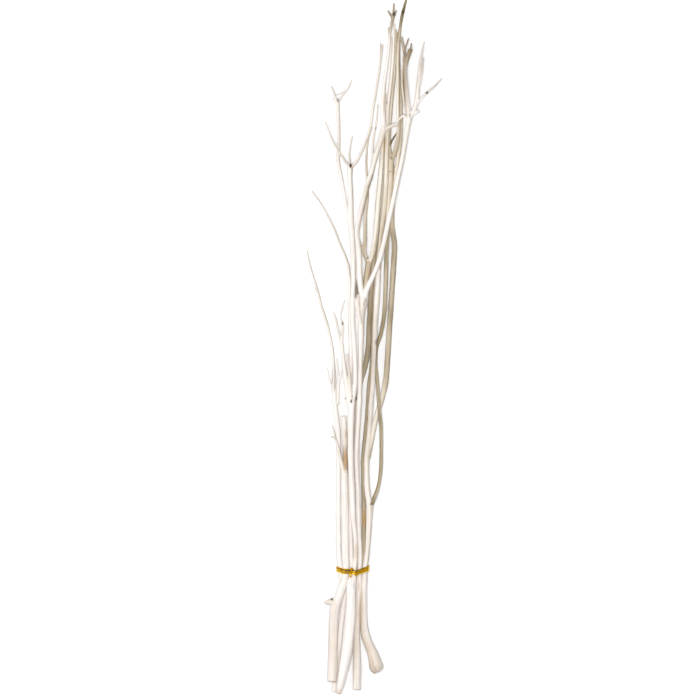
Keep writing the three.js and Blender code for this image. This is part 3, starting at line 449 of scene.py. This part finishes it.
def smooth_route(route):
    """The route's rows joined by a centripetal curve, as x, y, z, diameter every STATION mm."""
    points = [np.array(row, float) for row in route]
    points = [2 * points[0] - points[1], *points, 2 * points[-1] - points[-2]]
    rows = []
    for a, b, c, d in zip(points, points[1:], points[2:], points[3:]):
        k1 = np.linalg.norm((b - a)[:3]) ** 0.5
        k2 = k1 + np.linalg.norm((c - b)[:3]) ** 0.5
        k3 = k2 + np.linalg.norm((d - c)[:3]) ** 0.5
        steps = max(1, round(float(np.linalg.norm((c - b)[:3])) / STATION))
        for i in range(steps):
            t = k1 + (k2 - k1) * i / steps
            p = a * (k1 - t) / k1 + b * t / k1
            q = b * (k2 - t) / (k2 - k1) + c * (t - k1) / (k2 - k1)
            r = c * (k3 - t) / (k3 - k2) + d * (t - k2) / (k3 - k2)
            u = p * (k2 - t) / k2 + q * t / k2
            v = q * (k3 - t) / (k3 - k1) + r * (t - k1) / (k3 - k1)
            rows.append(u * (k2 - t) / (k2 - k1) + v * (t - k1) / (k2 - k1))
    rows.append(points[-2])
    return rows


def tone_at(node, y):
    """The limb's tone and the painted shade on one side of it at this y, in mm."""
    ys, tones, side_shades = zip(*TONES.get(node, PLAIN_TONE))
    return float(np.interp(y, ys, tones)), float(np.interp(y, ys, side_shades))


def uneven(rows, draw):
    """The rows as points in the frame and radii, in metres, swelling a little as wood does."""
    phases = [draw.uniform(0, 2 * math.pi) for _ in range(3)]
    scar = draw.uniform(12, 30)
    scars = []
    while scar < len(rows) * STATION:
        scars.append(scar)
        scar += draw.uniform(24, 46)
    out = []
    for i, (x, y, z, d) in enumerate(rows):
        s = i * STATION
        swell = sum(
            high * math.sin(s / run + phase) for (high, run), phase in zip(SWELLINGS, phases))
        swell += sum(SCAR_SHARE * math.exp(-((s - at) / SCAR_LENGTH) ** 2) for at in scars)
        place = (Vector((x, y, z)) - ORIGIN) * MM
        out.append((place, max(d, THINNEST) / 2 * (1 + swell) * MM))
    return out


def add_sweep(whole, rows, sides):
    """Adds a closed tube with one ring at each row of place and radius."""
    bm = bmesh.new()
    last = len(rows) - 1
    side = Vector((0.0, 0.0, 1.0))
    before = []
    for i, (place, radius) in enumerate(rows):
        ahead = (rows[min(i + 1, last)][0] - rows[max(i - 1, 0)][0]).normalized()
        side = (side - side.dot(ahead) * ahead).normalized()
        turn = Matrix((side, ahead.cross(side), ahead)).transposed().to_4x4()
        turn.translation = place
        ring = bmesh.ops.create_circle(
            bm, cap_ends=i in (0, last), segments=sides, radius=radius, matrix=turn)["verts"]
        edges = list({edge for vert in ring for edge in vert.link_edges})
        if before:
            bmesh.ops.bridge_loops(bm, edges=before + edges)
        before = edges
    bmesh.ops.recalc_face_normals(bm, faces=bm.faces[:])
    mesh = bpy.data.meshes.new("tube")
    bm.to_mesh(mesh)
    bm.free()
    whole.from_mesh(mesh)
    bpy.data.meshes.remove(mesh)


def tapered(rows):
    """The same rows with a blunt point after the last."""
    (a, _), (b, r) = rows[-2], rows[-1]
    ahead = (b - a).normalized()
    return rows + [(b + ahead * r * 0.55, r * 0.8), (b + ahead * r * 0.95, r * 0.4)]


def grow(name, nodes):
    """The limbs of a branch as one mesh, and the stations that its finish is measured from."""
    whole = bmesh.new()
    stations = []
    for node, main, twigs in LIMBS:
        if node not in nodes:
            continue
        draw = random.Random(node)
        for route in [main, *twigs]:
            rows = uneven(smooth_route(route), draw)
            for i, (place, radius) in enumerate(rows):
                ahead = (rows[min(i + 1, len(rows) - 1)][0] - rows[max(i - 1, 0)][0]).normalized()
                along = (route[0][1] + i * STATION) * MM
                sawn = (node in BUTTS and route is main and i < 3) or (
                    node in STUBS and route is main and i > len(rows) - 4)
                # the tone is partly painted shade, and the second value paints shade on one side of
                # the limb
                tone, side_shade = tone_at(node, along / MM)
                if route is not main:
                    tone = DARK_TONE if node == DARK_TWIG else tone + TWIG_TONE
                stations.append((place, radius, ahead, along, tone, side_shade, sawn))
            if route[-1][3] < FLAT_CUT:
                rows = tapered(rows)
            add_sweep(whole, rows, RING_SIDES)
    mesh = bpy.data.meshes.new(name)
    whole.to_mesh(mesh)
    whole.free()
    return mesh, stations


def skinned(name, mesh):
    """The overlapping limbs made one closed skin on a fine grid."""
    rough = bpy.data.objects.new(name + "_rough", mesh)
    bpy.context.scene.collection.objects.link(rough)
    remesh = rough.modifiers.new("skin", "REMESH")
    remesh.mode = "VOXEL"
    remesh.voxel_size = SKIN
    graph = bpy.context.evaluated_depsgraph_get()
    skin = bpy.data.meshes.new_from_object(rough.evaluated_get(graph))
    skin.name = name
    bpy.data.objects.remove(rough)
    bpy.data.meshes.remove(mesh)
    return skin


def coordinates(mesh):
    co = np.empty(len(mesh.vertices) * 3, np.float32)
    mesh.vertices.foreach_get("co", co)
    return co.reshape(-1, 3).astype(float)


def normals(mesh):
    flat = np.empty(len(mesh.vertices) * 3, np.float32)
    mesh.vertex_normals.foreach_get("vector", flat)
    return flat.reshape(-1, 3).astype(float)


def relaxed(co, edges, times, factor):
    """Each vertex's values moved towards the mean of its neighbours', several times."""
    count = np.bincount(edges.ravel(), minlength=len(co))[:, None].clip(1)
    for _ in range(times):
        total = np.stack([
            np.bincount(edges[:, 0], co[edges[:, 1], k], len(co))
            + np.bincount(edges[:, 1], co[edges[:, 0], k], len(co)) for k in range(co.shape[1])], 1)
        co = co + factor * (total / count - co)
    return co


def spots(co, places):
    """How strongly each vertex lies in one of the oval spots, 0 to 1."""
    strength = np.zeros(len(co))
    for x, y, wide, long, dark in places:
        across = (co[:, 0] - (x - ORIGIN.x) * MM) / (wide * MM)
        along = (co[:, 1] - (y - ORIGIN.y) * MM) / (long * MM)
        strength = np.maximum(strength, dark * np.exp(-(across ** 2 + along ** 2) ** 1.5))
    return strength


EVEN_ROUNDS = 2
FILL_ROUNDS = 14  # how far the forks fill
BLEND_ROUNDS = 6  # how softly the tone of one limb runs into another's
NEAREST = 5  # stations looked at for each point of the skin
FOLD_DEPTH = 0.35 * MM  # of filling that counts as a full fold, where the painted crease shade is darkest


def finish_skin(mesh, stations):
    """Forks filled, ridges raised along the grain, and the finish's attributes written."""
    co = coordinates(mesh)
    edges = np.empty(len(mesh.edges) * 2, np.int32)
    mesh.edges.foreach_get("vertices", edges)
    edges = edges.reshape(-1, 2)
    for factor in (0.5, -0.5):  # evens the grid without shrinking it
        co = relaxed(co, edges, EVEN_ROUNDS, factor)
    mesh.vertices.foreach_set("co", co.ravel())
    mesh.update()
    out = normals(mesh)
    filled = ((relaxed(co, edges, FILL_ROUNDS, 0.5) - co) * out).sum(1).clip(0)
    co = co + out * filled[:, None]
    tree = KDTree(len(stations))
    for i, station in enumerate(stations):
        tree.insert(station[0], i)
    tree.balance()
    grain = np.empty((len(co), 3))
    tone = np.empty(len(co))
    lift = np.empty(len(co))
    cut = np.zeros(len(co))
    for i, point in enumerate(co):
        here = Vector(point)
        near = min(
            ((gap - stations[k][1], k) for _, k, gap in tree.find_n(here, NEAREST)),
            key=lambda found: found[0])
        place, radius, ahead, along, shade, side_shade, sawn = stations[near[1]]
        off = here - place
        up = Vector((0, 0, 1)) - ahead.z * ahead
        across = off.dot(ahead.cross(up).normalized())
        above = off.dot(up.normalized())
        s = along + off.dot(ahead)
        grain[i] = across, above, s
        # painted shade: one side of the limb darker across its width, added to its tone
        tone[i] = shade + side_shade * max(-1, min(1, across / radius))
        cut[i] = sawn and min(1, max(0, abs(ahead.dot(Vector(out[i]))) - 0.6) * 4)
        angle = math.atan2(above, across)
        lift[i] = radius * sum(
            high * math.sin(count * angle + s * twist) for high, count, twist in RIDGES)
    grain = relaxed(grain, edges, 3, 0.5)
    tone, lift = relaxed(np.stack([tone, lift], 1), edges, BLEND_ROUNDS, 0.5).T
    # real knots, and painted shade in the crotches of the forks
    knot_and_shade = spots(co, KNOTS_AND_CROTCH_SHADE)
    # real stains, and painted shade on limb sides and in the gaps between limbs
    stain_and_shade = spots(co, STAINS_AND_SHADE)
    co = co + out * lift[:, None]
    mesh.vertices.foreach_set("co", co.ravel())
    mesh.update()
    fold = (filled / FOLD_DEPTH).clip(0, 1)
    for label, kind, key, values in (
            ("grain", "FLOAT_VECTOR", "vector", grain), ("tone", "FLOAT", "value", tone),
            ("fold", "FLOAT", "value", fold), ("knot_and_shade", "FLOAT", "value", knot_and_shade),
            ("cut", "FLOAT", "value", cut), ("stain_and_shade", "FLOAT", "value", stain_and_shade)):
        mesh.attributes.new(label, kind, "POINT").data.foreach_set(key, values.ravel())


def linear(colour):
    """An sRGB hex colour as linear RGBA."""
    parts = [int(colour[i:i + 2], 16) / 255 for i in (1, 3, 5)]
    return [c / 12.92 if c <= 0.04045 else ((c + 0.055) / 1.055) ** 2.4 for c in parts] + [1.0]


def add_node(tree, kind, settings=None, stops=(), **links):
    """A node with its settings and colour stops; links give each input a value or an output."""
    node = tree.nodes.new(kind)
    for key, value in (settings or {}).items():
        setattr(node, key, value)
    for _ in stops[2:]:
        node.color_ramp.elements.new(0.5)
    for k, (at, colour) in enumerate(stops):
        node.color_ramp.elements[k].position = at
        node.color_ramp.elements[k].color = linear(colour)
    for key, value in links.items():
        socket = node.inputs[int(key[1:]) if key[1:].isdigit() else key]
        if isinstance(value, bpy.types.NodeSocket):
            tree.links.new(value, socket)
        else:
            socket.default_value = value
    return node


def wood(name, contrast, tones):
    """Peeled wood: its streaks follow each limb's own grain, forks get painted shade in their
    creases, and cut ends are darker.
    """
    material = bpy.data.materials.new(name)
    material.use_nodes = True
    tree = material.node_tree
    tree.nodes.clear()
    carried = {
        label: add_node(tree, "ShaderNodeAttribute", {"attribute_name": label}).outputs
        for label in ("grain", "tone", "fold", "knot_and_shade", "cut", "stain_and_shade")}
    grain = carried["grain"]["Vector"]
    place = add_node(tree, "ShaderNodeTexCoord").outputs["Object"]
    level = carried["tone"]["Fac"]
    layers = []
    for vector, width, length, detail, roughness, share in (
            (grain, FIBRE, FIBRE_RUN, 4.0, 0.55, 1.0),
            (grain, STREAK, STREAK_RUN, 2.0, 0.55, 1.2),
            (place, PATCH, PATCH, 3.0, 0.5, 0.7)):
        stretched = add_node(
            tree, "ShaderNodeMapping", i0=vector, Scale=(1 / width, 1 / width, 1 / length))
        layers.append(add_node(
            tree, "ShaderNodeTexNoise", i0=stretched.outputs[0], Scale=1.0, Detail=detail,
            Roughness=roughness).outputs[0])
        level = add_node(
            tree, "ShaderNodeMath", {"operation": "MULTIPLY_ADD"}, i0=layers[-1],
            i1=share * contrast, i2=level).outputs[0]
    level = add_node(
        tree, "ShaderNodeMath", {"operation": "SUBTRACT"}, i0=level,
        i1=MEAN_OF_LAYERS * contrast).outputs[0]
    colour = add_node(
        tree, "ShaderNodeValToRGB", stops=list(zip(TONE_STEPS, tones)), i0=level).outputs[0]
    rings = add_node(
        tree, "ShaderNodeTexWave", {"wave_type": "RINGS", "rings_direction": "Z"},
        i0=grain, Scale=WAVES / RING, Distortion=1.2, Detail=2.0).outputs[1]
    sawn = add_node(
        tree, "ShaderNodeValToRGB", stops=[(0.0, CUT_DARK), (0.8, CUT_PALE)],
        i0=rings).outputs[0]
    # The fold mask paints shade into the creases of the forks; the knot and stain masks also paint
    # shade in crotches and gaps.
    for label, low, high, blend, over in (
            ("fold", 0.4, 1.3, "MULTIPLY", linear(CREASE_SHADE)),
            ("stain_and_shade", 0.0, 1.0, "MIX", linear(STAIN_AND_SHADE)),
            ("cut", 0.0, 1.0, "MIX", sawn),
            ("knot_and_shade", 0.1, 0.8, "MIX", linear(KNOT_AND_CROTCH_SHADE))):
        mask = add_node(
            tree, "ShaderNodeMapRange", Value=carried[label]["Fac"], i1=low, i2=high)
        colour = add_node(
            tree, "ShaderNodeMix", {"data_type": "RGBA", "blend_type": blend},
            i0=mask.outputs[0], i6=colour, i7=over).outputs[2]
    matt = add_node(tree, "ShaderNodeMapRange", i0=layers[0], i3=0.62, i4=0.86).outputs[0]
    relief = add_node(
        tree, "ShaderNodeBump", Strength=0.45, Distance=FIBRE_DEPTH, Height=layers[0]).outputs[0]
    shader = add_node(
        tree, "ShaderNodeBsdfPrincipled", i0=colour, Roughness=matt, Normal=relief, IOR=1.5)
    shader.inputs["Specular IOR Level"].default_value = 0.3
    add_node(tree, "ShaderNodeOutputMaterial", i0=shader.outputs[0])
    return material


FIBRE = 0.9 * MM  # width of one fibre streak, drawn coarser than real so that it shows
FIBRE_RUN = 26 * MM
FIBRE_DEPTH = 0.25 * MM
STREAK = 3.2 * MM
STREAK_RUN = 70 * MM
PATCH = 45 * MM
MEAN_OF_LAYERS = 1.45  # the three layers' shares, each times its mean, so that tone stays put
RING = 1.1 * MM  # one year's growth on a cut face
WAVES = 0.32  # the wave texture's own turns per unit of scale
# painted shade multiplied into the creases of the forks
CREASE_SHADE = "#EFE6DA"
# ochre of the stains, also painted as shade on limb sides and in gaps
STAIN_AND_SHADE = "#BE955F"
# dark brown of the knots, also painted as shade in the crotches of the forks
KNOT_AND_CROTCH_SHADE = "#4C3D2A"
CUT_DARK = "#B98860"
CUT_PALE = "#DDB690"
TONE_STEPS = (0.0, 0.16, 0.36, 0.62, 0.82, 1.0)

WOODS = {
    # Peeled and bleached mitsumata: nearly white, matt, with faint cream streaks along the grain;
    # its darker tones are partly painted shade.
    "bleached_wood": wood("bleached_mitsumata_wood", 0.34, (
        "#ECE6E2", "#DED6CC", "#BEB3A6", "#938167", "#76644B", "#574834")),
    # The same wood less bleached, and a darker copy that paints shade on the limbs lying under
    # others:
    # taupe and light brown, more strongly streaked.
    "shaded_wood": wood("half_bleached_and_shaded_mitsumata_wood", 0.5, (
        "#EAE3DA", "#DBD2C2", "#BDAF99", "#94876D", "#786949", "#56462E")),
}

for name, slot, nodes in BRANCHES:
    rough_mesh, stations = grow(name, nodes)
    skin = skinned(name, rough_mesh)
    finish_skin(skin, stations)
    skin.polygons.foreach_set("use_smooth", [True] * len(skin.polygons))
    skin.materials.append(WOODS[slot])
    piece = bpy.data.objects.new(name, skin)
    bpy.context.scene.collection.objects.link(piece)
    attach(piece, "root")
    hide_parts(*nodes)


# The tie: one strand wound round the limbs like a taut string, its ends twisted on top.
AT_TIE = [  # the limbs as they cross the tie: x, z and radius, mm
    (-16.3, 9.2, 3.9), (-8.6, 15.7, 5.2), (-5.5, 7.2, 3.75), (-0.5, 12.1, 3.6),
    (3.2, 19.8, 3.5), (10.6, 14.2, 3.8), (15.6, 6.8, 3.2), (18.3, 12.4, 3.9),
]
WIRE = 2.4  # mm, the strand's diameter
WIRE_PITCH = 2.7
WIRE_TURNS = 3
WIRE_SIDES = 12
TIE_SLACK = 0.6
TIE_Y = 176.6
TIE_STEPS = 40  # rows in one turn
TIE_BAND = 11.0  # mm from the lowest edge of its turns to the highest
END_RADIUS = 0.85  # mm, of each twisted end and of its turn about the other
END_TURNS = 1.1
END_STEPS = 24


def sagging(x):
    """How far the front of the tie rises either side of its lowest point, mm."""
    return 0.0105 * x * x + 0.05 * x


def wound():
    """Rows of place and radius along the winding."""
    rows = []
    for i in range(WIRE_TURNS * TIE_STEPS + 1):
        share = i / TIE_STEPS
        out = Vector((math.sin(share * 2 * math.pi), math.cos(share * 2 * math.pi)))
        x, z, r = max(AT_TIE, key=lambda limb: limb[0] * out.x + limb[1] * out.y + limb[2])
        x += out.x * (r + TIE_SLACK + WIRE / 2)
        z += out.y * (r + TIE_SLACK + WIRE / 2)
        y = TIE_Y + sagging(x) + (share - WIRE_TURNS / 2) * WIRE_PITCH
        rows.append((x, y, z))
    for _ in range(2):
        rows = [rows[0]] + [
            tuple((a + 2 * b + c) / 4 for a, b, c in zip(*three))
            for three in zip(rows, rows[1:], rows[2:])] + [rows[-1]]
    return [((Vector(row) - ORIGIN) * MM, WIRE / 2 * MM) for row in rows]


def twisted_end(phase):
    """One of the two ends, twisted about the other over the front of the tie."""
    rows = []
    for i in range(END_STEPS + 1):
        t = i / END_STEPS
        turn = phase + t * END_TURNS * 2 * math.pi
        at = Vector((-2.4 + 2.2 * t, 170.4 + 13.6 * t, 25.2 + 0.8 * math.sin(math.pi * t)))
        at += Vector((math.cos(turn), 0, math.sin(turn))) * END_RADIUS
        rows.append(((at - ORIGIN) * MM, END_RADIUS * MM))
    return rows


whole = bmesh.new()
for rows in (wound(), twisted_end(0), twisted_end(math.pi)):
    add_sweep(whole, rows, WIRE_SIDES)
mesh = bpy.data.meshes.new("wire_tie_wound")
whole.to_mesh(mesh)
whole.free()
mesh.polygons.foreach_set("use_smooth", [True] * len(mesh.polygons))
# where each point lies across the tie's band, which places the painted highlight and dark reflection
# bands
co = coordinates(mesh) / MM + np.array(ORIGIN)
mesh.attributes.new("glint_band", "FLOAT", "POINT").data.foreach_set(
    "value", (co[:, 1] - TIE_Y - sagging(co[:, 0])) / TIE_BAND + 0.5)
tie = bpy.data.objects.new("gold_wire_tie", mesh)
bpy.context.scene.collection.objects.link(tie)

# Gold-coloured aluminium craft wire: bright and warm, each strand with a painted highlight and a
# painted dark reflection in bands across the tie.
gold = bpy.data.materials.new("gold_anodised_wire")
gold.use_nodes = True
tree = gold.node_tree
tree.nodes.clear()
place = add_node(tree, "ShaderNodeTexCoord").outputs["Object"]
scuff = add_node(
    tree, "ShaderNodeTexNoise", i0=place, Scale=1 / (1.5 * MM), Detail=3.0).outputs[0]
glint_band = add_node(tree, "ShaderNodeAttribute", {"attribute_name": "glint_band"}).outputs["Fac"]
wander = add_node(tree, "ShaderNodeMapRange", i0=scuff, i3=-0.07, i4=0.07).outputs[0]
line = add_node(tree, "ShaderNodeMath", i0=glint_band, i1=wander).outputs[0]
# painted highlights and painted dark reflections alternating across the tie
glint_tint = add_node(tree, "ShaderNodeValToRGB", stops=[
    (0.08, "#DCA40A"), (0.26, "#FFDC2C"), (0.42, "#C8960A"), (0.56, "#FACC1E"),
    (0.72, "#8A6806"), (0.92, "#DCA610")], i0=line).outputs[0]
matt = add_node(tree, "ShaderNodeMapRange", i0=scuff, i3=0.2, i4=0.34).outputs[0]
dents = add_node(
    tree, "ShaderNodeBump", Strength=0.3, Distance=0.15 * MM, Height=scuff).outputs[0]
shader = add_node(
    tree, "ShaderNodeBsdfPrincipled", i0=glint_tint, Metallic=1.0, Roughness=matt, Normal=dents)
add_node(tree, "ShaderNodeOutputMaterial", i0=shader.outputs[0])
mesh.materials.append(gold)
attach(tie, "root")
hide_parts("wire_tie")

# Floor, light and camera.
FLOOR_SIZE = 6.0  # m, half its side
AMBIENT = 0.38

bm = bmesh.new()
bmesh.ops.create_grid(bm, x_segments=4, y_segments=4, size=FLOOR_SIZE)
mesh = bpy.data.meshes.new("floor")
bm.to_mesh(mesh)
bm.free()
floor = bpy.data.objects.new("studio_floor", mesh)
bpy.context.scene.collection.objects.link(floor)
# White background paper: matt and plain, so that it reads as empty ground.
paper = bpy.data.materials.new("white_paper")
paper.use_nodes = True
tree = paper.node_tree
tree.nodes.clear()
shader = add_node(tree, "ShaderNodeBsdfPrincipled", i0=linear("#FAFAFA"), Roughness=0.9)
add_node(tree, "ShaderNodeOutputMaterial", i0=shader.outputs[0])
mesh.materials.append(paper)
floor.visible_diffuse = False  # its glow would wash out the shaded sides

world = bpy.data.worlds.new("studio")
world.use_nodes = True
background = world.node_tree.nodes["Background"]
background.inputs[0].default_value = (1.0, 0.995, 0.99, 1.0)
background.inputs[1].default_value = AMBIENT
bpy.context.scene.world = world

# Soft round lamps turned to the middle of the part: name, place in m, size in m and watts.
for name, place, size, watts in (
        ("key", (-2.2, 0.6, 1.8), 2.0, 26), ("top", (-0.12, 0.0, 3.0), 0.8, 65),
        ("fill", (2.2, -0.6, 1.6), 1.6, 7)):
    lamp = bpy.data.lights.new(name, "AREA")
    lamp.shape = "DISK"
    lamp.size = size
    lamp.energy = watts
    holder = bpy.data.objects.new(name, lamp)
    holder.location = place
    holder.rotation_mode = "QUATERNION"
    holder.rotation_quaternion = (-Vector(place)).to_track_quat("-Z", "Y")
    bpy.context.scene.collection.objects.link(holder)

# Straight down from far above, so that the twigs hardly converge.
camera = bpy.data.cameras.new("camera")
camera.lens = 200
camera.sensor_width = 36
holder = bpy.data.objects.new("camera", camera)
holder.location = (-0.03504, -0.00665, 5.614)
bpy.context.scene.collection.objects.link(holder)
bpy.context.scene.camera = holder
bpy.context.scene.view_settings.view_transform = "Standard"
